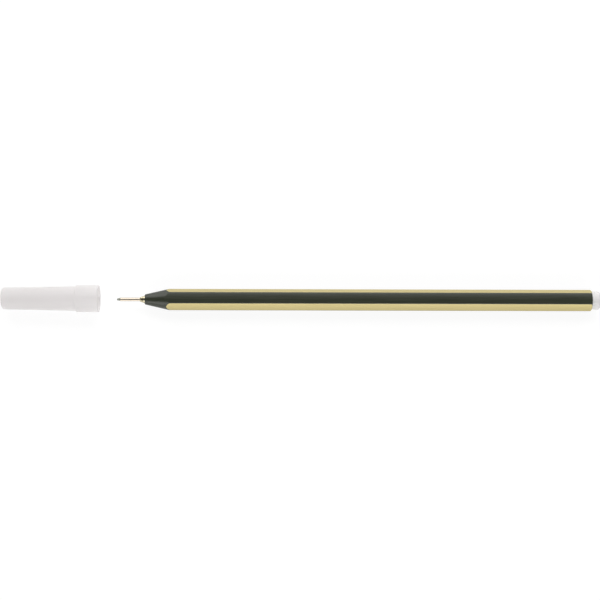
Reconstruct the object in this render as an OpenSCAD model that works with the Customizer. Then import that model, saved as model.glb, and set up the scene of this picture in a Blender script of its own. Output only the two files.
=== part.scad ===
// Slim hexagonal stick ballpoint pen with a metal tube tip, and its push-on cap lying off the tip.
// The pen's axis runs along X. The tip points towards -X and the cap lies in line ahead of it.
// The set is centred on X = 0. The barrel's lowest flat and the cap's collar both lie on Z = 0.

/* [Barrel] */
// Length of the barrel, from the nose's front face to the rear face
barrel_length = 133.75; // [100:0.25:150]
// Width of the hexagonal barrel across the middles of its faces
barrel_flats = 6; // [5.4:0.05:7]
// Radius to which the faces are gently crowned
face_radius = 9; // [8:0.5:40]
// Radius of the rounded long edges between the faces
edge_radius = 0.65; // [0.4:0.05:1]
// Length of the conical nose, from its front face to where it runs out on the long edges
nose_length = 7.5; // [5.5:0.1:10]
// Width of the nose's front face round the tip
nose_lip = 0.35; // [0.3:0.01:0.5]
// Rounding of the nose's front edge
nose_round = 0.25; // [0.1:0.05:0.25]
// Least wall of the nose beside the shoulder that stops the tip
nose_wall = 0.6; // [0.4:0.05:0.8]
// Chamfer round the barrel's rear edge
rear_chamfer = 0.25; // [0.2:0.05:0.7]

/* [Stripes] */
// Depth to which the stripes are let into every other face
stripe_depth = 0.05; // [0.03:0.01:0.15]
// Angle by which a stripe wraps round the rounded edges, from the middle of its face
stripe_wrap = 16; // [14:1:27]
// Bare strip between the edge of the nose cone and the start of a stripe
stripe_setback = 0.1; // [0.1:0.05:1.5]

/* [Tip] */
// Diameter of the writing ball
ball_d = 0.6; // [0.5:0.05:0.8]
// Length by which the ball stands out of its socket
ball_show = 0.16; // [0.1:0.01:0.18]
// Running clearance round the ball
ball_gap = 0.015; // [0.01:0.005:0.03]
// Length of the crimped socket that holds the ball
socket_length = 0.65; // [0.5:0.05:1]
// Wall of the socket at its crimped front edge
socket_lip = 0.04; // [0.03:0.01:0.08]
// Wall of the socket where it joins the needle
socket_wall = 0.1; // [0.08:0.01:0.15]
// Diameter of the feed hole behind the ball
feed_d = 0.3; // [0.2:0.05:0.4]
// Outside diameter of the needle
needle_d = 1.1; // [1:0.05:1.4]
// Wall of the needle
needle_wall = 0.25; // [0.15:0.05:0.3]
// Length of the needle that shows between its socket and the tip body
needle_length = 6.1; // [3:0.1:10]
// Length of the needle that is pressed into the tip body
needle_grip = 3; // [2:0.1:3.6]
// Width of the tip body's front face round the needle
tip_front = 0.05; // [0.05:0.05:0.2]
// Length of the tip body's cone
tip_cone_length = 1.2; // [0.8:0.05:2.5]
// Step from the end of the cone to the land behind it
tip_step = 0.1; // [0.05:0.05:0.2]
// Diameter of the tip body's land, which fills the hole in the nose
tip_land_d = 2.3; // [2.1:0.05:2.5]
// Length of the land that stands out of the nose
tip_land_show = 0.3; // [0.2:0.05:1]
// Length of the flange that stops on the shoulder inside the nose
flange_length = 1; // [0.6:0.1:2]
// Clearance round the flange in the barrel's bore
flange_gap = 0.12; // [0.05:0.01:0.2]
// Length of the shank that is pressed into the ink tube
shank_length = 5; // [3:0.5:8]

/* [Refill] */
// Outside diameter of the ink tube
tube_d = 3; // [2.8:0.05:3.3]
// Wall of the ink tube
tube_wall = 0.5; // [0.3:0.05:0.6]
// Clearance round the ink tube in the barrel's bore
tube_gap = 0.2; // [0.1:0.05:0.3]
// Free space between the ink tube and the end plug
tube_end_gap = 6; // [2:0.5:12]
// Length of the ink tube behind the ink that holds only air
air_length = 25; // [5:1:60]
// Clearance between pieces that are pressed together
press_gap = 0.02; // [0.01:0.005:0.03]

/* [End plug] */
// Diameter of the end plug's head
plug_d = 5.5; // [4.6:0.1:5.6]
// Length of the end plug's head
plug_length = 2.5; // [1.5:0.1:5]
// Rounding of the head's rear edge
plug_round = 0.5; // [0.2:0.05:0.7]
// Length of the plain neck beside the barrel
plug_neck_length = 0.6; // [0.4:0.05:0.8]
// Step from the neck to the head
plug_step = 0.08; // [0.05:0.01:0.15]
// Length of the stem that is pressed into the barrel
plug_stem_length = 8; // [5:0.5:12]
// Lead-in chamfer on the stem
plug_lead = 0.4; // [0.2:0.05:0.6]
// Width of the groove that lets air in behind the ink
vent_width = 0.6; // [0.4:0.05:0.8]
// Depth of the vent groove
vent_depth = 0.3; // [0.2:0.05:0.35]

/* [Cap] */
// Length of the cap
cap_length = 29; // [26:0.1:40]
// Free space between the cap's mouth and the ball while the cap is off
cap_offset = 5.25; // [2:0.05:20]
// Wall of the cap's tapered tube
cap_wall = 0.7; // [0.6:0.05:0.8]
// Wall at the cap's closed end
cap_end_wall = 1; // [0.8:0.1:2]
// Rounding of the closed end's edge
cap_end_round = 0.9; // [0.3:0.1:1.2]
// Draft angle of the tapered tube
cap_draft = 0.96; // [0.5:0.02:1.2]
// Length of the collar at the cap's mouth
collar_length = 6.7; // [6:0.1:9]
// Wall of the collar at the mouth
collar_wall = 0.54; // [0.5:0.02:0.8]
// Draft angle of the collar
collar_draft = 0.5; // [0.2:0.1:1]
// Height of the step from the tapered tube up to the collar
collar_step = 0.355; // [0.2:0.005:0.45]
// Length of the ramp on that step
collar_ramp = 0.2; // [0.2:0.05:0.8]
// Rounding of the mouth's outer edge
rim_round = 0.3; // [0.1:0.05:0.3]
// Lead-in chamfer inside the mouth
rim_chamfer = 0.15; // [0.05:0.05:0.15]
// Depth of the bore that slides over the barrel's edges
grip_length = 5.8; // [4:0.1:6.5]
// Clearance between the inner end of that bore and the barrel's edges
cap_fit = 0.05; // [0.03:0.01:0.1]
// Clearance left between the nose and the conical seat inside the cap
seat_gap = 0.05; // [0.03:0.01:0.1]

/* [Hidden] */
$fn = 96;
FACES = 6;
FACE_TURN = 360 / FACES;
HALF_TURN = FACE_TURN / 2;
ARC_STEPS = 6;
EDGE_STEPS = 4;
// Sides of a crowned face, of which the middle one is flat
FACE_STEPS = 5;
// Length by which a cutting shape passes the face that it cuts
over = 1;

// Barrel section: crowned faces that run into rounded edges, each an arc tangent to the next
flat_r = barrel_flats / 2;
face_centre = flat_r - face_radius;
edge_centre = face_centre * cos(HALF_TURN)
    + sqrt(pow(face_radius - edge_radius, 2) - pow(face_centre * sin(HALF_TURN), 2));
edge_r = edge_centre + edge_radius;
crown_turn = atan2(edge_centre * sin(HALF_TURN), edge_centre * cos(HALF_TURN) - face_centre);
// Height of the axis over the flat middle of the face that the barrel lies on
rest_r = face_centre + face_radius * cos(crown_turn / FACE_STEPS);

// Barrel along the axis, from its front face
tip_hole_r = tip_land_d / 2 + press_gap;
nose_front_r = tip_hole_r + nose_lip;
nose_slope = (edge_r - nose_front_r) / nose_length;
bore_r = tube_d / 2 + tube_gap;
shoulder_x = (bore_r + nose_wall - nose_front_r) / nose_slope;

// Tip, from the ball back to the shank's end
ball_r = ball_d / 2;
socket_r = ball_r + socket_wall;
needle_r = needle_d / 2;
channel_r = needle_r - needle_wall;
tip_front_x = -tip_land_show - tip_cone_length;
tip_reach = ball_show + socket_length + needle_length - tip_front_x;
needle_end_x = tip_front_x + needle_grip;
flange_r = bore_r - flange_gap;
flange_end_x = shoulder_x + flange_length;
shank_end_x = flange_end_x + shank_length;

// Ink tube and ink
tube_r = tube_d / 2;
tube_bore_r = tube_r - tube_wall;
plug_stem_x = barrel_length - plug_stem_length;
tube_end_x = plug_stem_x - tube_end_gap;
ink_end_x = tube_end_x - air_length;

// Cap, from its closed end
cap_bore_r = edge_r + cap_fit;
cap_run = cap_offset + tip_reach + grip_length + (cap_bore_r - nose_front_r - seat_gap) / nose_slope;
// The cap lies higher than the pen, so it comes on at a slight slant and its bore is drafted to suit
bore_flare = grip_length * (cap_bore_r + collar_wall - rest_r) / (cap_run - grip_length);
collar_r = cap_bore_r + bore_flare + collar_wall;
cap_lift = collar_r - rest_r;
collar_x = cap_length - collar_length;
collar_start_r = collar_r - collar_length * tan(collar_draft);
waist_r = collar_start_r - collar_step;
waist_x = collar_x - collar_ramp;
cap_slope = tan(cap_draft);
cap_end_r = waist_r - cap_slope * waist_x;
inside_end_r = cap_end_r - cap_wall;
grip_x = cap_length - grip_length;
seat_end_x = (inside_end_r - cap_bore_r + nose_slope * grip_x) / (nose_slope - cap_slope);
seat_end_r = inside_end_r + cap_slope * seat_end_x;

// Where the pen and its cap lie
total_length = cap_length + cap_offset + tip_reach + barrel_length + plug_length;
cap_x = -total_length / 2;
nose_x = cap_x + cap_length + cap_offset + tip_reach;

// Where the cap and the ball turn or slide, for whoever sets up their motion
echo(cap_run = cap_run, cap_drop = -cap_lift, ball_x = nose_x - tip_reach + ball_r, pen_z = rest_r);
echo(cap_mouth_x = cap_x + cap_length, cap_z = collar_r, grip_x = cap_x + grip_x, nose_x = nose_x);

// A point turned about the origin
function turned_point(p, angle) =
    [p.x * cos(angle) - p.y * sin(angle), p.x * sin(angle) + p.y * cos(angle)];

// A list in the opposite order
function reversed(list) = [for (i = [len(list) - 1:-1:0]) list[i]];

// An arc of a turned profile, whose points are [radius, distance along the axis]
function profile_arc(centre, radius, from, to) =
    [for (i = [0:ARC_STEPS]) let (a = from + (to - from) * i / ARC_STEPS)
        centre + radius * [cos(a), sin(a)]];

// The rounded edge between a flat face at 0 and a wall that widens from end_r by slope
function rounded_end(end_r, slope, radius) =
    profile_arc([end_r + slope * radius - radius * sqrt(1 + slope * slope), radius],
        radius, -90, -atan(slope));

// The directions in which the points of a face lie, out to an angle on its rounded edges
function face_turns(wrap) =
    concat(
        [for (i = [0:EDGE_STEPS - 1]) -wrap + (wrap - crown_turn) * i / EDGE_STEPS],
        [for (i = [0:FACE_STEPS]) crown_turn * (2 * i / FACE_STEPS - 1)],
        [for (i = [1:EDGE_STEPS]) crown_turn + (wrap - crown_turn) * i / EDGE_STEPS]);

// A point of the top face or its rounded edges, by the direction it faces and its offset from the skin
function skin_point(turn, grow) =
    abs(turn) > crown_turn
        ? turned_point([0, edge_centre], -sign(turn) * HALF_TURN)
            + (edge_radius + grow) * [sin(turn), cos(turn)]
        : [0, face_centre] + (face_radius + grow) * [sin(turn), cos(turn)];

// The outline of the top face with both of its rounded edges, from left to right
function face_path(grow, wrap) = [for (turn = face_turns(wrap)) skin_point(turn, grow)];

// The outline of the whole barrel, face after face
function barrel_outline() =
    [for (face = [0:FACES - 1]) let (path = face_path(0, HALF_TURN))
        for (i = [0:len(path) - 2]) turned_point(path[i], -FACE_TURN * face)];

// The outline of a band that follows the top face between two offsets from it
function band_outline(outer, inner) =
    concat(face_path(outer, stripe_wrap), reversed(face_path(inner, stripe_wrap)));

// A solid turned about the X axis from a profile of [radius, distance along X]
module turned(profile) {
    rotate([0, 90, 0])
        rotate_extrude()
            polygon(profile);
}

// A prism along X, from an outline in Y and Z
module prism(outline, from, to) {
    translate([from, 0, 0])
        rotate([90, 0, 90])
            linear_extrude(to - from)
                polygon(outline);
}

// Places a piece that is drawn from the nose's front face
module on_pen() {
    translate([nose_x, 0, rest_r])
        children();
}

// The turned envelope that gives the barrel its nose cone and its rear chamfer
module barrel_envelope() {
    wide_r = edge_r + over;
    turned(concat(
        [[0, 0]],
        rounded_end(nose_front_r, nose_slope, nose_round),
        [[wide_r, (wide_r - nose_front_r) / nose_slope],
         [wide_r, barrel_length - rear_chamfer - over],
         [edge_r - rear_chamfer, barrel_length],
         [0, barrel_length]]));
}

// The area that a stripe covers, seen square on, with a front edge that follows the nose cone's
module stripe_area() {
    path = face_path(0, stripe_wrap);
    half = path[len(path) - 1].x + over;
    front = [for (p = path) [(norm(p) - nose_front_r) / nose_slope + stripe_setback, p.x]];
    polygon(concat(
        [[front[0].x, -half]],
        front,
        [[front[0].x, half],
         [barrel_length + over, half],
         [barrel_length + over, -half]]));
}

// Bands along every other face between two offsets from the skin, which leave the top face bare
module stripe_bands(outer, inner) {
    for (face = [1:2:FACES - 1])
        rotate([FACE_TURN * face, 0, 0])
            intersection() {
                prism(band_outline(outer, inner), 0, barrel_length + over);
                linear_extrude(edge_r + over)
                    stripe_area();
            }
}

module barrel() {
    color("#24251f")
        on_pen()
            difference() {
                intersection() {
                    prism(barrel_outline(), -over, barrel_length + over);
                    barrel_envelope();
                }
                stripe_bands(over, -stripe_depth);
                turned([
                    [0, -over],
                    [tip_hole_r, -over],
                    [tip_hole_r, shoulder_x],
                    [bore_r, shoulder_x],
                    [bore_r, barrel_length + over],
                    [0, barrel_length + over]]);
            }
}

module gold_stripes() {
    color("#c9bd86")
        on_pen()
            intersection() {
                stripe_bands(0, -stripe_depth);
                barrel_envelope();
            }
}

module end_plug() {
    stem_r = bore_r - press_gap;
    head_r = plug_d / 2;
    neck_r = head_r - plug_step;
    end_x = barrel_length + plug_length;
    color("#e4e3e0")
        on_pen()
            difference() {
                turned(concat(
                    [[0, plug_stem_x],
                     [stem_r - plug_lead, plug_stem_x],
                     [stem_r, plug_stem_x + plug_lead],
                     [stem_r, barrel_length],
                     [neck_r, barrel_length],
                     [neck_r, barrel_length + plug_neck_length],
                     [head_r, barrel_length + plug_neck_length + plug_step]],
                    profile_arc([head_r - plug_round, end_x - plug_round], plug_round, 0, 90),
                    [[0, end_x]]));
                // Vent groove along the stem, and out under the head
                translate([plug_stem_x - over, -vent_width / 2, -stem_r - over])
                    cube([plug_stem_length + over + vent_depth, vent_width, over + vent_depth]);
                translate([barrel_length - over, -vent_width / 2, -head_r - over])
                    cube([over + vent_depth, vent_width, head_r - stem_r + over + vent_depth]);
            }
}

module ink_tube() {
    color("#d8d4c4")
        on_pen()
            turned([
                [tube_bore_r, flange_end_x],
                [tube_r, flange_end_x],
                [tube_r, tube_end_x],
                [tube_bore_r, tube_end_x]]);
}

module ink() {
    column_r = tube_bore_r - press_gap;
    thread_r = channel_r - press_gap;
    thread_start_x = -tip_reach + ball_show + socket_length + needle_wall;
    color("#101014")
        on_pen()
            turned([
                [0, thread_start_x],
                [thread_r, thread_start_x],
                [thread_r, shank_end_x],
                [column_r, shank_end_x],
                [column_r, ink_end_x],
                [0, ink_end_x]]);
}

module tip_body() {
    land_r = tip_land_d / 2;
    shank_r = tube_bore_r - press_gap;
    color("#b39a5a")
        on_pen()
            difference() {
                turned([
                    [0, tip_front_x],
                    [needle_r + press_gap + tip_front, tip_front_x],
                    [land_r - tip_step, -tip_land_show],
                    [land_r, -tip_land_show],
                    [land_r, shoulder_x],
                    [flange_r, shoulder_x],
                    [flange_r, flange_end_x],
                    [shank_r, flange_end_x],
                    [shank_r, shank_end_x],
                    [0, shank_end_x]]);
                // Seat of the needle, and the ink channel behind it
                turned([
                    [0, tip_front_x - over],
                    [needle_r + press_gap, tip_front_x - over],
                    [needle_r + press_gap, needle_end_x],
                    [channel_r, needle_end_x],
                    [channel_r, shank_end_x + over],
                    [0, shank_end_x + over]]);
            }
}

module needle() {
    lip_x = -tip_reach + ball_show;
    socket_end_x = lip_x + socket_length;
    ball_x = -tip_reach + ball_r;
    color("#b9b0a0")
        on_pen()
            difference() {
                turned([
                    [0, lip_x],
                    [ball_r + socket_lip, lip_x],
                    [socket_r, socket_end_x],
                    [needle_r, socket_end_x + needle_r - socket_r],
                    [needle_r, needle_end_x],
                    [0, needle_end_x]]);
                translate([ball_x, 0, 0])
                    sphere(r = ball_r + ball_gap);
                // Feed hole behind the ball, opening into the ink channel
                turned([
                    [0, ball_x],
                    [feed_d / 2, ball_x],
                    [feed_d / 2, socket_end_x],
                    [channel_r, socket_end_x + channel_r - feed_d / 2],
                    [channel_r, needle_end_x + over],
                    [0, needle_end_x + over]]);
            }
}

module ball() {
    color("#8f918c")
        on_pen()
            translate([-tip_reach + ball_r, 0, 0])
                sphere(r = ball_r);
}

module cap() {
    color("#ebeae8")
        translate([cap_x, 0, collar_r])
            turned(concat(
                [[0, 0]],
                rounded_end(cap_end_r, cap_slope, cap_end_round),
                [[waist_r, waist_x],
                 [collar_start_r, collar_x]],
                profile_arc([collar_r - rim_round, cap_length - rim_round], rim_round, 0, 90),
                [[cap_bore_r + bore_flare + rim_chamfer, cap_length],
                 [cap_bore_r + bore_flare * (1 - rim_chamfer / grip_length), cap_length - rim_chamfer],
                 [cap_bore_r, grip_x],
                 [seat_end_r, seat_end_x],
                 [inside_end_r + cap_slope * cap_end_wall, cap_end_wall],
                 [0, cap_end_wall]]));
}

barrel();
gold_stripes();
end_plug();
ink_tube();
ink();
tip_body();
needle();
ball();
cap();
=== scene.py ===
# %% [markdown]
# # A slim hexagonal ballpoint pen with its cap off
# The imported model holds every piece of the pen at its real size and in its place. This lesson
# dresses it: it sets up a small studio, gives each surface its finish, and models again, more
# finely, the pieces whose soft edges catch the light. No piece is fitted by eye, because each one
# takes its place from the frame that is loaded first.

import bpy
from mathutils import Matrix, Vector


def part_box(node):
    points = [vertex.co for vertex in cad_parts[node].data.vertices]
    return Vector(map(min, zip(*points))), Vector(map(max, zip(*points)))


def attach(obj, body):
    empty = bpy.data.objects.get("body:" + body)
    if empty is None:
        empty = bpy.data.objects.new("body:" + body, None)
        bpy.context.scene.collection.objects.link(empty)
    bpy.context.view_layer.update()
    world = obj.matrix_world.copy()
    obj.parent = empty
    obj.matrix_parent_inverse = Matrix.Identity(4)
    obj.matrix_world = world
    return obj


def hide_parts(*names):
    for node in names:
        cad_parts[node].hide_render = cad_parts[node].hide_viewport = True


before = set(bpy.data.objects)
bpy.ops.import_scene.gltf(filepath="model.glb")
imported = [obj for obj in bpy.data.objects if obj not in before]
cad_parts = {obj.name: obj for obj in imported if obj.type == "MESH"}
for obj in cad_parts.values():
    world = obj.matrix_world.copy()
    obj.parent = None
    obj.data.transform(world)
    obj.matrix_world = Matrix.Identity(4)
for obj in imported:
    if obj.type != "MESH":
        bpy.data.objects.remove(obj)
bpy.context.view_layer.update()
print("The frame holds", ", ".join(sorted(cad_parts)))

# %% [markdown]
# ## Units and places
# Blender works in metres and a pen is drawn in millimetres, so the pen's sizes below are written in
# millimetres and multiplied by `MM`. The studio is large and stays in metres. The pen lies along X
# on one of its flats, and the cap lies ahead of its tip. The middle of each one's box gives the
# line that its round pieces are turned about, and the front of the box says where they start.

# %% Measure the pen and the cap
import math

import bmesh
import bpy
from mathutils import Quaternion, Vector

MM = 0.001
scene = bpy.context.scene


def front(node):
    """Where a node starts along X."""
    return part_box(node)[0].x


def axis_height(node):
    """How high the middle of a node lies."""
    low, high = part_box(node)
    return (low.z + high.z) / 2


nose_x = front("barrel")
pen_z = axis_height("barrel")
cap_z = axis_height("cap")
print(f"The pen's axis lies {pen_z / MM:.2f} mm up, and the cap's {cap_z / MM:.2f} mm up")

# %% [markdown]
# ## The camera
# The photograph looks down on the pen, leaning a little to the near side, so the near striped face
# shows wider than the far one. A long lens keeps the faces nearly parallel. The lens is worked out
# from how far away the camera stands and how much of the pen's length the picture takes in, which
# is easier to measure on a picture than a focal length. The pen runs down to the right by a hair,
# so the camera is rolled by as much. It aims at the point of the pen that the middle of the picture
# shows, a third of the way along the barrel.

# %% Place the camera
CAMERA_ELEVATION = math.radians(78.3)
CAMERA_DISTANCE = 420 * MM
CAMERA_ROLL = math.radians(0.14)
PICTURE_WIDTH = 180 * MM
AIM_BEHIND_NOSE = 46.52 * MM
AIM_TO_NEAR_SIDE = 0.06 * MM
SENSOR_WIDTH = 36

camera = bpy.data.objects.new("camera", bpy.data.cameras.new("camera"))
camera.data.sensor_width = SENSOR_WIDTH
camera.data.lens = SENSOR_WIDTH * CAMERA_DISTANCE / PICTURE_WIDTH
towards_camera = Vector((0, -math.cos(CAMERA_ELEVATION), math.sin(CAMERA_ELEVATION)))
aim = Vector((nose_x + AIM_BEHIND_NOSE, -AIM_TO_NEAR_SIDE, pen_z))
camera.location = aim + towards_camera * CAMERA_DISTANCE
upright = (-towards_camera).to_track_quat("-Z", "Y")
camera.rotation_euler = (upright @ Quaternion((0, 0, 1), CAMERA_ROLL)).to_euler()
scene.collection.objects.link(camera)
scene.camera = camera
scene.view_settings.view_transform = "Standard"
print(f"A {camera.data.lens:.0f} mm lens stands {CAMERA_DISTANCE / MM:.0f} mm away")

# %% [markdown]
# ## Helpers for shader nodes
# Every finish below is a small tree of nodes. Adding a node, setting it and linking it takes three
# statements each time, so one helper does it: an input that is given a socket is linked, and any
# other value is set.

# %% A node, and the few kinds that every finish uses
def add_node(tree, kind, inputs, **settings):
    """A new shader node with its own settings, and its inputs set or linked."""
    node = tree.nodes.new("ShaderNode" + kind)
    for name, value in settings.items():
        setattr(node, name, value)
    for name, value in inputs.items():
        if isinstance(value, bpy.types.NodeSocket):
            tree.links.new(value, node.inputs[name])
        else:
            node.inputs[name].default_value = value
    return node


def calculate(tree, operation, *values):
    """The result of one Math node."""
    return add_node(tree, "Math", dict(enumerate(values)), operation=operation).outputs[0]


def remap(tree, value, old, new):
    """A value carried smoothly from an old range to a new one."""
    inputs = {"Value": value}
    inputs["From Min"], inputs["From Max"] = old
    inputs["To Min"], inputs["To Max"] = new
    return add_node(tree, "MapRange", inputs, interpolation_type="SMOOTHSTEP").outputs["Result"]


def tint(tree, value, dark, light):
    """A colour between two, chosen by a value from 0 to 1."""
    ramp = add_node(tree, "ValToRGB", {"Fac": value})
    for element, colour in zip(ramp.color_ramp.elements, (dark, light)):
        element.color = (*colour, 1)
    return ramp.outputs["Color"]


print("Node helpers are ready")

# %% [markdown]
# ## The studio sweep
# The pen lies on a sheet of white paper that curves up all round it, as in a product photograph. A
# flat plane would show its edge in a low view, so the sheet is a wire with one rounded corner, spun
# about the upright axis. A spin leaves a seam and doubled points at the axis, and they are merged.
# It can also leave faces that point both ways, so their normals are recalculated. On an open bowl
# that points them all away from the pen, and they are turned round to face it.

# %% Model the sweep
SWEEP_RADIUS = 2.4
SWEEP_HEIGHT = 1.0
SWEEP_CORNER = 0.5
SWEEP_CORNER_STEPS = 12
SWEEP_STEPS = 64


def spin_wire(bm, centre, axis, steps, merge):
    """Spin a wire through a full turn, close its seam and poles, and make its faces agree."""
    bmesh.ops.spin(bm, geom=bm.verts[:] + bm.edges[:], cent=centre, axis=axis, angle=math.tau,
                   steps=steps, use_merge=True)
    bmesh.ops.remove_doubles(bm, verts=bm.verts, dist=merge)
    bmesh.ops.recalc_face_normals(bm, faces=bm.faces)


bm = bmesh.new()
middle = bm.verts.new((0, 0, 0))
corner = bm.verts.new((SWEEP_RADIUS, 0, 0))
top = bm.verts.new((SWEEP_RADIUS, 0, SWEEP_HEIGHT))
bm.edges.new((middle, corner))
bm.edges.new((corner, top))
bmesh.ops.bevel(bm, geom=[corner], offset=SWEEP_CORNER, offset_type="OFFSET",
                segments=SWEEP_CORNER_STEPS, profile=0.5, affect="VERTICES", material=-1)
spin_wire(bm, centre=(0, 0, 0), axis=(0, 0, 1), steps=SWEEP_STEPS, merge=MM)
bmesh.ops.reverse_faces(bm, faces=bm.faces)
sweep_mesh = bpy.data.meshes.new("paper_sweep")
bm.to_mesh(sweep_mesh)
bm.free()
sweep_mesh.shade_smooth()
sweep = bpy.data.objects.new("paper_sweep", sweep_mesh)
scene.collection.objects.link(sweep)
print("The sweep has", len(sweep_mesh.polygons), "faces")

# %% [markdown]
# ## White paper
# The paper is plain diffuse white for the light that bounces off it. More light would make it pure
# white in the picture, but it would bleach the pen too. So only what the camera, and metal and
# gloss, see of the paper is lifted to white, and the part of its own shading that is left keeps the
# pen's shadow on it.

# %% Finish the sweep
PAPER = 0.86
PAPER_SEEN = 0.15
PAPER_LIFT = 0.89

paper = bpy.data.materials.new("white_paper")
paper.use_nodes = True
tree = paper.node_tree
tree.nodes.clear()
ray = add_node(tree, "LightPath", {})
seen = calculate(tree, "MAXIMUM", ray.outputs["Is Camera Ray"], ray.outputs["Is Glossy Ray"])
seen = calculate(tree, "MAXIMUM", seen, ray.outputs["Is Transmission Ray"])
shade = remap(tree, seen, (0, 1), (PAPER, PAPER_SEEN))
lift = remap(tree, seen, (0, 1), (0, PAPER_LIFT))
sheet = add_node(tree, "BsdfDiffuse", {"Color": shade})
glow = add_node(tree, "Emission", {"Strength": lift})
both = add_node(tree, "AddShader", {0: sheet.outputs[0], 1: glow.outputs[0]})
add_node(tree, "OutputMaterial", {"Surface": both.outputs[0]})
sweep_mesh.materials.append(paper)
print("The paper reflects", PAPER, "of the light that falls on it")

# %% [markdown]
# ## Light
# The nose and the cap each show two long soft highlights with a darker band between them, so the
# pen was lit by two long softboxes, one beyond it and a lower one on the near side, with little
# light from straight above. Area lamps do that, and a dimmer strip low on the far side lights the
# cap's upper edge. An area lamp's power is spread over its face, so it is worked out from the
# brightness of the face.

# %% Hang the softboxes, a low strip and a dim ceiling
SOFTBOX_LENGTH = 1.0
SOFTBOX_WIDTH = 0.3
SOFTBOX_DISTANCE = 0.6
FAR_SIDE = 1
NEAR_SIDE = -1
CEILING = 0.12


def hang_softbox(name, side, elevation, brightness):
    """Hang a long area lamp beside the pen, aimed at it."""
    lamp = bpy.data.lights.new(name, "AREA")
    lamp.shape = "RECTANGLE"
    lamp.size = SOFTBOX_LENGTH
    lamp.size_y = SOFTBOX_WIDTH
    lamp.energy = brightness * math.pi * SOFTBOX_LENGTH * SOFTBOX_WIDTH
    softbox = bpy.data.objects.new(name, lamp)
    tilt = math.radians(elevation)
    towards_lamp = Vector((0, side * math.cos(tilt), math.sin(tilt)))
    softbox.location = towards_lamp * SOFTBOX_DISTANCE
    softbox.rotation_euler = (-towards_lamp).to_track_quat("-Z", "Y").to_euler()
    scene.collection.objects.link(softbox)


hang_softbox("far_softbox", FAR_SIDE, elevation=47, brightness=3.6)
hang_softbox("near_softbox", NEAR_SIDE, elevation=28, brightness=3.4)
hang_softbox("low_strip", FAR_SIDE, elevation=14, brightness=1.5)
scene.world = bpy.data.worlds.new("ceiling")
scene.world.use_nodes = True
ceiling_light = scene.world.node_tree.nodes["Background"]
ceiling_light.inputs["Color"].default_value = (CEILING, CEILING, CEILING, 1)
print("Two softboxes and a strip hang", SOFTBOX_DISTANCE, "m from the pen")

# %% [markdown]
# ## Starting a finish
# Each finish starts from a Principled shader and the piece's own coordinates in millimetres, so
# that the size of a grain or a streak can be written as it would be measured on the pen. Noise
# gives most of the detail: stretched along the pen it makes streaks, and fed to a Bump node it
# makes grain. An image would need unwrapping first, and would blur up close.

# %% Helpers for a finish
def new_finish(name, **sockets):
    """A material, its nodes, its Principled shader with sockets set, and places in millimetres."""
    material = bpy.data.materials.new(name)
    material.use_nodes = True
    tree = material.node_tree
    shader = tree.nodes["Principled BSDF"]
    for socket, value in sockets.items():
        shader.inputs[socket.replace("_", " ")].default_value = value
    place = add_node(tree, "TexCoord", {}).outputs["Object"]
    in_mm = add_node(tree, "Mapping", {"Vector": place, "Scale": (1 / MM, 1 / MM, 1 / MM)})
    return material, tree, shader, in_mm.outputs["Vector"]


def noise(tree, coordinates, per_mm, detail=2.0, stretch=1.0):
    """Noise with so many lumps to a millimetre, stretched along the pen."""
    drawn_out = add_node(tree, "Mapping", {"Vector": coordinates, "Scale": (1 / stretch, 1, 1)})
    inputs = {"Vector": drawn_out.outputs["Vector"], "Scale": per_mm, "Detail": detail}
    return add_node(tree, "TexNoise", inputs).outputs["Fac"]


def bump(tree, height, depth_mm, under=None):
    """A normal that follows a height, over another normal if there is one."""
    inputs = {"Height": height, "Distance": depth_mm * MM, "Strength": 1.0}
    if under is not None:
        inputs["Normal"] = under
    return add_node(tree, "Bump", inputs).outputs["Normal"]


def connect(tree, shader, **links):
    """Link values into a shader's sockets."""
    for socket, value in links.items():
        tree.links.new(value, shader.inputs[socket.replace("_", " ")])


print("Finish helpers are ready")

# %% [markdown]
# ## Black plastic
# The barrel is moulded in black plastic with a faint olive cast. Its long faces are satin, with
# streaks that run with the flow of the plastic. The nose cone is left with a coarser grain, which
# breaks its highlights up into speckle. Two materials on two sets of faces would do, but one does
# both here: a point lies on the cone if its distance from the axis is what the cone has there, so
# the nose's scalloped edge comes out of the arithmetic. Most of a noise lies in a narrow range
# round its middle, and the roughness is spread over that range.

# %% Make the black plastic
NOISE_RANGE = (0.35, 0.65)
NOSE_FRONT_R = 1.52 * MM
NOSE_SLOPE = 0.2302
NOSE_EDGE = 0.05 * MM


def nose_mask(tree):
    """1 on the nose cone and 0 on the faces behind it."""
    place = add_node(tree, "TexCoord", {}).outputs["Object"]
    both_places = {0: place, 1: (nose_x, 0, pen_z)}
    from_nose = add_node(tree, "VectorMath", both_places, operation="SUBTRACT").outputs[0]
    across = add_node(tree, "VectorMath", {0: from_nose, 1: (0, 1, 1)}, operation="MULTIPLY")
    radius = add_node(tree, "VectorMath", {0: across.outputs[0]}, operation="LENGTH")
    along = add_node(tree, "SeparateXYZ", {0: from_nose}).outputs["X"]
    cone_r = calculate(tree, "MULTIPLY_ADD", along, NOSE_SLOPE, NOSE_FRONT_R)
    depth = calculate(tree, "SUBTRACT", cone_r, radius.outputs["Value"])
    return remap(tree, depth, (0, NOSE_EDGE), (1, 0))


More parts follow.
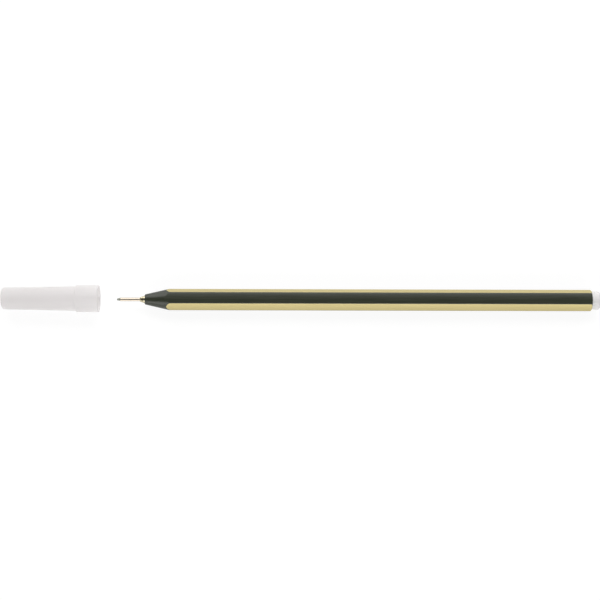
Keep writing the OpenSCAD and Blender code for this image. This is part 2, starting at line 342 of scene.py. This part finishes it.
def black_plastic():
    """The barrel's finish, satin on its faces and grained on its nose."""
    material, tree, shader, mm = new_finish("black_plastic_satin", IOR=1.5)
    nose = nose_mask(tree)
    face = calculate(tree, "SUBTRACT", 1.0, nose)
    streaks = noise(tree, mm, per_mm=2.5, detail=3, stretch=30)
    grain = noise(tree, mm, per_mm=4.5, detail=3)
    skin = noise(tree, mm, per_mm=9, stretch=2)
    satin = calculate(tree, "MULTIPLY", remap(tree, streaks, NOISE_RANGE, (0.34, 0.42)), face)
    matt = calculate(tree, "MULTIPLY", remap(tree, grain, NOISE_RANGE, (0.32, 0.42)), nose)
    grain_on_nose = calculate(tree, "MULTIPLY", grain, nose)
    skin_on_face = calculate(tree, "MULTIPLY", skin, face)
    tone = calculate(tree, "MULTIPLY_ADD", streaks, face, grain_on_nose)
    colour = tint(tree, tone, (0.0165, 0.0202, 0.0108), (0.031, 0.0358, 0.0198))
    roughness = calculate(tree, "ADD", satin, matt)
    smooth = bump(tree, skin_on_face, depth_mm=0.003)
    grained = bump(tree, grain_on_nose, depth_mm=0.03, under=smooth)
    connect(tree, shader, Base_Color=colour, Roughness=roughness, Normal=grained)
    return material


black_plastic_finish = black_plastic()
print("Made", black_plastic_finish.name)

# %% [markdown]
# ## Gold film
# Every other face carries a pale gold film that was stamped on with heat. It is metal, but not a
# mirror: a fine grain scatters the light, and faint streaks follow the way it was rolled on. A
# plain metal of one colour would shine evenly from end to end, which printed foil never does.

# %% Make the gold film
def gold_film():
    """The stripes' finish."""
    material, tree, shader, mm = new_finish("gold_film_satin", Metallic=0.9, IOR=1.5)
    streaks = noise(tree, mm, per_mm=3, detail=3, stretch=40)
    grain = noise(tree, mm, per_mm=14, stretch=3)
    colour = tint(tree, streaks, (0.51, 0.435, 0.205), (0.585, 0.505, 0.255))
    roughness = remap(tree, grain, NOISE_RANGE, (0.5, 0.62))
    grained = bump(tree, grain, depth_mm=0.004)
    connect(tree, shader, Base_Color=colour, Roughness=roughness, Normal=grained)
    return material


gold_film_finish = gold_film()
print("Made", gold_film_finish.name)

# %% [markdown]
# ## Putting a piece in the scene
# A finished bmesh becomes a mesh with smooth shading, in which edges that turn by more than a set
# angle stay sharp. The piece then rides on its CAD body, stands for its CAD node and takes its
# finish as its material. A copy of a CAD node brings the node's own normals along, and they are
# dropped, so that the shading follows the merged mesh. Spin and extrude make their faces in an
# order that changes from run to run, so points and faces are numbered again by where they lie, and
# every run gives the same mesh.

# %% A helper that finishes a piece
SHARP = math.radians(32)


def put_in_order(items, place):
    """Number points or faces by where they lie."""
    for index, item in enumerate(sorted(items, key=place)):
        item.index = index
    items.sort()


def finish_piece(bm, name, node, body, finish):
    """Make a bmesh an object that stands for a node."""
    for face in bm.faces:
        face.smooth = True
    for edge in bm.edges:
        edge.smooth = edge.smooth and edge.calc_face_angle(0) < SHARP
    put_in_order(bm.verts, lambda vert: vert.co[:])
    put_in_order(bm.faces, lambda face: face.calc_center_median()[:])
    mesh = bpy.data.meshes.new(name)
    bm.to_mesh(mesh)
    bm.free()
    if mesh.has_custom_normals:
        mesh.attributes.remove(mesh.attributes["custom_normal"])
    mesh.materials.append(finish)
    piece = bpy.data.objects.new(name, mesh)
    scene.collection.objects.link(piece)
    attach(piece, body)
    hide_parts(node)
    print(name, "has", len(mesh.polygons), "faces")


print(f"Edges that turn by more than {math.degrees(SHARP):.0f} degrees stay sharp")

# %% [markdown]
# ## Hexagonal barrel
# Each face of the barrel is crowned, and that is why the light grades across it in the photograph.
# The solid has the crown as a few narrow strips, so its triangles are merged and shaded smoothly,
# which blends the strips into one curve. The nose cone comes with only a couple of dozen facets,
# which show up close. So the nose is taken off the copy and grown again from the scalloped edge
# that it leaves: that loop is extruded along the cone to the front, then in small steps round the
# soft front edge, and the last ring is bridged to the tip's hole. Every new face is then a narrow
# strip that runs straight along the cone, as the light on it should.

# %% Helpers that copy a solid and grow the nose
MERGE = 0.001 * MM
NOSE_LENGTH = 8 * MM
NOSE_ROUND = 0.25 * MM
NOSE_ROUND_STEPS = 6
LOOKS_FORWARD = -0.1


def merged_copy(node):
    """A bmesh of a CAD node, with its loose triangles joined."""
    bm = bmesh.new()
    bm.from_mesh(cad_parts[node].data)
    bmesh.ops.remove_doubles(bm, verts=bm.verts, dist=MERGE)
    return bm


def grow_ring(bm, loop, x, radius):
    """Extrude a loop of edges to a ring about the pen's axis, and return the ring's edges."""
    grown = bmesh.ops.extrude_edge_only(bm, edges=loop)["geom"]
    ring = {item for item in grown if isinstance(item, bmesh.types.BMVert)}
    for vert in ring:
        spoke = Vector((0, vert.co.y, vert.co.z - pen_z))
        spoke.length = radius
        vert.co = Vector((x, 0, pen_z)) + spoke
    edges = [item for item in grown if isinstance(item, bmesh.types.BMEdge)]
    return [edge for edge in edges if ring.issuperset(edge.verts)]


def regrow_nose(bm):
    """Replace the faceted nose with strips that run along the cone."""
    in_front = [face for face in bm.faces if face.calc_center_median().x < nose_x + NOSE_LENGTH]
    nose = [face for face in in_front if face.normal.x < LOOKS_FORWARD]
    bmesh.ops.delete(bm, geom=nose, context="FACES")
    open_edges = [edge for edge in bm.edges if edge.is_boundary]
    hole = [edge for edge in open_edges if edge.verts[0].co.x < nose_x + NOSE_ROUND]
    loop = [edge for edge in open_edges if edge not in hole]
    for edge in loop:
        edge.smooth = False
    lean = math.atan(NOSE_SLOPE)
    round_centre_r = NOSE_FRONT_R + NOSE_SLOPE * NOSE_ROUND - NOSE_ROUND / math.cos(lean)
    for step in range(NOSE_ROUND_STEPS + 1):
        turn = lean + (math.pi / 2 - lean) * step / NOSE_ROUND_STEPS
        x = nose_x + NOSE_ROUND * (1 - math.sin(turn))
        loop = grow_ring(bm, loop, x, round_centre_r + NOSE_ROUND * math.cos(turn))
    bmesh.ops.bridge_loops(bm, edges=loop + hole)
    bmesh.ops.recalc_face_normals(bm, faces=bm.faces)


print("The nose's front edge is rounded in", NOSE_ROUND_STEPS, "steps")

# %% Model the barrel and its stripes
barrel = merged_copy("barrel")
regrow_nose(barrel)
finish_piece(barrel, "barrel_moulding", "barrel", "pen", black_plastic_finish)
stripes = merged_copy("gold_stripes")
finish_piece(stripes, "stripe_film", "gold_stripes", "pen", gold_film_finish)

# %% [markdown]
# ## White plastic
# The cap and the end plug are moulded in the same white plastic, a little warm and not glossy. Its
# thin walls let light through, so the inside of the cap's mouth is nearly as bright as the outside.
# Subsurface scattering looks like the way to do that, but Cycles leaves it out of light that has
# bounced once, and the cap's inside stays dark. So the Principled shader is mixed with a
# Translucent one, which passes light on through both faces of a wall. The plug is solid and takes a
# smaller share of it. Up close the plastic has the faint orange peel of a polished mould and slow
# changes of tone where it cooled.

# %% Make the white plastic
def white_plastic(name, light_through):
    """A white finish that lets a share of the light through."""
    material, tree, shader, mm = new_finish(name, IOR=1.5)
    tone = noise(tree, mm, per_mm=0.25, detail=3, stretch=3)
    peel = noise(tree, mm, per_mm=2.2)
    white = tint(tree, tone, (0.905, 0.89, 0.885), (0.935, 0.92, 0.92))
    roughness = remap(tree, peel, NOISE_RANGE, (0.36, 0.46))
    peeled = bump(tree, peel, depth_mm=0.006)
    connect(tree, shader, Base_Color=white, Roughness=roughness, Normal=peeled)
    through = add_node(tree, "BsdfTranslucent", {"Color": white, "Normal": peeled})
    shares = {0: light_through, 1: shader.outputs[0], 2: through.outputs[0]}
    wall = add_node(tree, "MixShader", shares)
    tree.links.new(wall.outputs[0], tree.nodes["Material Output"].inputs["Surface"])
    return material


thin_white_finish = white_plastic("white_plastic_thin", light_through=0.5)
solid_white_finish = white_plastic("white_plastic_solid", light_through=0.2)
print("Made", thin_white_finish.name, "and", solid_white_finish.name)

# %% [markdown]
# ## Turned shapes
# The cap, the needle and the brass tip are all round. Half of a section is drawn as a wire, each
# corner is bevelled to its own softness, and the wire is spun about the line that the piece lies
# on. Blender's Screw modifier could turn it too, but the spin gives a plain mesh whose seam is
# merged at once. This way every corner of the section is one row of three numbers: how far along
# the piece it lies, its radius, and how much it is softened.

# %% A helper that turns a section
SOFT_STEPS = 6
TURN_STEPS = 96


def turned_piece(section, start_x, axis_z, ring):
    """A bmesh turned from a section in millimetres, whose ends are joined if it is a ring."""
    bm = bmesh.new()
    corners = []
    for along, radius, soft in section:
        corners.append(bm.verts.new((start_x + along * MM, 0, axis_z + radius * MM)))
    for start, end in zip(corners, corners[1:]):
        bm.edges.new((start, end))
    if ring:
        bm.edges.new((corners[-1], corners[0]))
    for corner, (along, radius, soft) in zip(corners, section):
        if soft:
            bmesh.ops.bevel(bm, geom=[corner], offset=soft * MM, offset_type="OFFSET",
                            segments=SOFT_STEPS, profile=0.5, affect="VERTICES", material=-1)
    spin_wire(bm, centre=(0, 0, axis_z), axis=(1, 0, 0), steps=TURN_STEPS, merge=MERGE)
    return bm


print("A turned piece has", TURN_STEPS, "steps round it")

# %% [markdown]
# ## Cap
# The cap is a thin tapered tube, closed and rounded at one end, with a slightly wider collar at its
# mouth. A few joined cylinders would have its shape but hard edges, so it is turned in one. Its
# section starts in the small round mark that the mould's gate left in the closed end. It goes along
# the outside, over the soft step of the collar and round the rim, and comes back along the inside:
# the drafted bore that slides over the barrel, the conical seat of the nose, and the inside of the
# closed end.

# %% Model the cap
CAP_LENGTH = 29.0
GATE_DEPTH = 0.06
GATE_R = 0.7
CLOSED_END_R = 3.283
CLOSED_END_WALL = 1
COLLAR_START = CAP_LENGTH - 6.7
COLLAR_RAMP = 0.2
WAIST_R = 3.653
COLLAR_START_R = 4.008
COLLAR_R = 4.066
RIM_CHAMFER = 0.15
RIM_R = 3.677
MOUTH_R = 3.521
BORE_END = CAP_LENGTH - 5.8
BORE_END_R = 3.296
NOSE_SEAT_END = 21.68
NOSE_SEAT_END_R = 2.946
INSIDE_END_R = 2.6

cap_section = [
    (GATE_DEPTH, 0, 0),
    (GATE_DEPTH, GATE_R, 0.02),
    (0, GATE_R + GATE_DEPTH, 0.02),
    (0, CLOSED_END_R, 0.9),
    (COLLAR_START - COLLAR_RAMP, WAIST_R, 0.1),
    (COLLAR_START, COLLAR_START_R, 0.1),
    (CAP_LENGTH, COLLAR_R, 0.32),
    (CAP_LENGTH, RIM_R, 0.04),
    (CAP_LENGTH - RIM_CHAMFER, MOUTH_R, 0.04),
    (BORE_END, BORE_END_R, 0.2),
    (NOSE_SEAT_END, NOSE_SEAT_END_R, 0.3),
    (CLOSED_END_WALL, INSIDE_END_R, 0.5),
    (CLOSED_END_WALL, 0, 0),
]
cap = turned_piece(cap_section, front("cap"), cap_z, ring=False)
finish_piece(cap, "cap_moulding", "cap", "cap", thin_white_finish)

# %% [markdown]
# ## End plug
# The plug has a vent groove along its stem and under its head, so it isn't fully round and can't be
# turned. Its solid is right as it is, and a merged copy only has to be shaded smoothly round the
# rear edge of the head.

# %% Model the end plug
plug = merged_copy("end_plug")
finish_piece(plug, "plug_moulding", "end_plug", "pen", solid_white_finish)

# %% [markdown]
# ## Metals
# The tip has three metals: a turned brass body, a needle of drawn nickel silver and a ground
# carbide ball. Turning leaves fine rings round the axis and drawing leaves fine lines along it.
# Noise that is squeezed along X makes the rings, and noise that is stretched along X makes the
# lines. Both show in the roughness as well as in the colour, over a wider range of the noise than
# on plastic.

# %% Make the brass and the carbide
LINE_RANGE = (0.3, 0.7)
ROUGHNESS_SPREAD = 0.3


def metal(name, dark, light, roughness, per_mm, stretch, depth_mm):
    """A metal with fine rings or lines in it."""
    material, tree, shader, mm = new_finish(name, Metallic=1.0)
    lines = noise(tree, mm, per_mm, detail=3, stretch=stretch)
    spread = ROUGHNESS_SPREAD * roughness
    colour = tint(tree, lines, dark, light)
    lined = remap(tree, lines, LINE_RANGE, (roughness - spread, roughness + spread))
    scored = bump(tree, lines, depth_mm)
    connect(tree, shader, Base_Color=colour, Roughness=lined, Normal=scored)
    return material


brass_finish = metal("turned_brass", dark=(0.48, 0.43, 0.28), light=(0.6, 0.54, 0.38),
                     roughness=0.08, per_mm=3, stretch=0.15, depth_mm=0.001)
ball_finish = metal("ground_carbide", dark=(0.3, 0.31, 0.29), light=(0.42, 0.43, 0.4),
                    roughness=0.2, per_mm=12, stretch=1, depth_mm=0.002)
print("Made", brass_finish.name, "and", ball_finish.name)

# %% [markdown]
# ## Needle metal
# The needle is drawn tube, bright along its length. Its front end was crimped round the ball and
# has ink on it, so it is darker and duller there. The end could be a piece of its own, but it is
# the same tube, so the distance along X from the needle's front says where that part stops.

# %% Make the needle's metal
CRIMP_END = 0.75
CRIMP_FADE = 0.25
CRIMP_DULLNESS = 0.2


def needle_metal():
    """The needle's finish, dull at its crimped front."""
    material, tree, shader, mm = new_finish("drawn_nickel_silver", Metallic=1.0)
    crimp_x = front("needle") / MM + CRIMP_END
    along = add_node(tree, "SeparateXYZ", {0: mm}).outputs["X"]
    drawn = remap(tree, along, (crimp_x, crimp_x + CRIMP_FADE), (0, 1))
    lines = noise(tree, mm, per_mm=12, stretch=60)
    tone = calculate(tree, "MULTIPLY", remap(tree, lines, LINE_RANGE, (0.8, 1)), drawn)
    colour = tint(tree, tone, (0.25, 0.26, 0.22), (0.52, 0.45, 0.37))
    bright = remap(tree, lines, LINE_RANGE, (0.07, 0.1))
    dull = remap(tree, drawn, (0, 1), (CRIMP_DULLNESS, 0))
    roughness = calculate(tree, "ADD", bright, dull)
    scored = bump(tree, lines, depth_mm=0.0008)
    connect(tree, shader, Base_Color=colour, Roughness=roughness, Normal=scored)
    return material


needle_finish = needle_metal()
print("Made", needle_finish.name)

# %% [markdown]
# ## Needle tube
# At its front the needle is turned down to a thin socket, and the lip of the socket was rolled over
# the ball to hold it. The solid has hard corners there, so the needle is turned again with soft
# ones. Its section is a ring, because ink runs right through: it goes back along the outside,
# forward along the channel and the narrow feed hole, and round the seat of the ball, which is an
# arc.

# %% Model the needle
NEEDLE_LENGTH = 9.75
NEEDLE_R = 0.55
TUBE_START = 0.8
SOCKET_END = 0.65
SOCKET_R = 0.4
LIP_R = 0.34
CHANNEL_R = 0.3
FEED_R = 0.15
BALL_SEAT_R = 0.315
BALL_MIDDLE = 0.14
BALL_SEAT_STEPS = 8


def ball_seat():
    """Rows of a section round the ball's seat, from the feed hole to the lip."""
    start = math.asin(FEED_R / BALL_SEAT_R)
    end = math.acos(-BALL_MIDDLE / BALL_SEAT_R)
    rows = []
    for step in range(BALL_SEAT_STEPS + 1):
        turn = start + (end - start) * step / BALL_SEAT_STEPS
        along = BALL_MIDDLE + BALL_SEAT_R * math.cos(turn)
        rows.append((along, BALL_SEAT_R * math.sin(turn), 0))
    return rows


needle_section = [
    (0, LIP_R, 0.02),
    (SOCKET_END, SOCKET_R, 0.08),
    (TUBE_START, NEEDLE_R, 0.08),
    (NEEDLE_LENGTH, NEEDLE_R, 0.03),
    (NEEDLE_LENGTH, CHANNEL_R, 0.03),
    (TUBE_START, CHANNEL_R, 0),
    (SOCKET_END, FEED_R, 0),
    *ball_seat(),
]
needle = turned_piece(needle_section, front("needle"), pen_z, ring=True)
finish_piece(needle, "needle_tube", "needle", "pen", needle_finish)

# %% [markdown]
# ## Brass tip
# What shows of the tip body is a small bulged cone with a land behind it. The rest is hidden: the
# flange that stops it in the nose, the shank in the ink tube, and the hole that takes the needle.
# It is turned as the real one is. Its section is a ring, because the hole goes right through, and
# it is measured from the nose's front face.

# %% Model the tip body
CONE_FRONT = -1.5
CONE_FRONT_R = 0.62
BULGE = -1.24
BULGE_R = 0.78
LAND_FRONT = -0.3
LAND_STEP_R = 1.05
LAND_R = 1.15
SHOULDER = 3.389
FLANGE_R = 1.58
FLANGE_END = SHOULDER + 1
SHANK_R = 0.98
SHANK_END = FLANGE_END + 5
NEEDLE_HOLE_R = 0.57
NEEDLE_HOLE_END = 1.5

tip_section = [
    (CONE_FRONT, NEEDLE_HOLE_R, 0),
    (CONE_FRONT, CONE_FRONT_R, 0.02),
    (BULGE, BULGE_R, 0.12),
    (LAND_FRONT, LAND_STEP_R, 0.04),
    (LAND_FRONT, LAND_R, 0.04),
    (SHOULDER, LAND_R, 0.03),
    (SHOULDER, FLANGE_R, 0.05),
    (FLANGE_END, FLANGE_R, 0.05),
    (FLANGE_END, SHANK_R, 0.03),
    (SHANK_END, SHANK_R, 0.1),
    (SHANK_END, CHANNEL_R, 0.03),
    (NEEDLE_HOLE_END, CHANNEL_R, 0),
    (NEEDLE_HOLE_END, NEEDLE_HOLE_R, 0),
]
tip = turned_piece(tip_section, nose_x, pen_z, ring=True)
finish_piece(tip, "tip_turning", "tip_body", "pen", brass_finish)

# %% [markdown]
# ## Ink tube and ink
# Both are hidden inside the barrel and show only when the pen is taken apart. The tube is milky
# extruded plastic with faint lines along it, and the ink is thick, black and glossy. A clear liquid
# would need glass-like shading, but ink this dark shows only its surface.

# %% Make the tube's plastic and the ink
def milky_plastic():
    """The ink tube's finish."""
    material, tree, shader, mm = new_finish("milky_tube_plastic", IOR=1.5)
    lines = noise(tree, mm, per_mm=3, stretch=40)
    colour = tint(tree, lines, (0.64, 0.62, 0.54), (0.74, 0.72, 0.65))
    roughness = remap(tree, lines, LINE_RANGE, (0.3, 0.42))
    scored = bump(tree, lines, depth_mm=0.003)
    connect(tree, shader, Base_Color=colour, Roughness=roughness, Normal=scored)
    return material


def thick_ink():
    """The ink's finish."""
    material, tree, shader, mm = new_finish("thick_black_ink", IOR=1.4)
    swirl = noise(tree, mm, per_mm=1.5, stretch=4)
    colour = tint(tree, swirl, (0.006, 0.006, 0.01), (0.011, 0.011, 0.016))
    roughness = remap(tree, swirl, LINE_RANGE, (0.08, 0.16))
    stirred = bump(tree, swirl, depth_mm=0.004)
    connect(tree, shader, Base_Color=colour, Roughness=roughness, Normal=stirred)
    return material


tube_finish = milky_plastic()
ink_finish = thick_ink()
print("Made", tube_finish.name, "and", ink_finish.name)

# %% [markdown]
# ## Nodes that keep their own shape
# The ball, the ink tube and the ink already have the right shape in the frame, and copies of them
# would add nothing. They only get their finishes.

# %% Dress the nodes that stay
for node, finish in (("ball", ball_finish), ("ink_tube", tube_finish), ("ink", ink_finish)):
    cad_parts[node].data.materials.clear()
    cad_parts[node].data.materials.append(finish)
    print(node, "has the finish", finish.name)

# %% [markdown]
# ## The dressed pen

# %% Say that the pen is dressed
print("The pen is dressed")
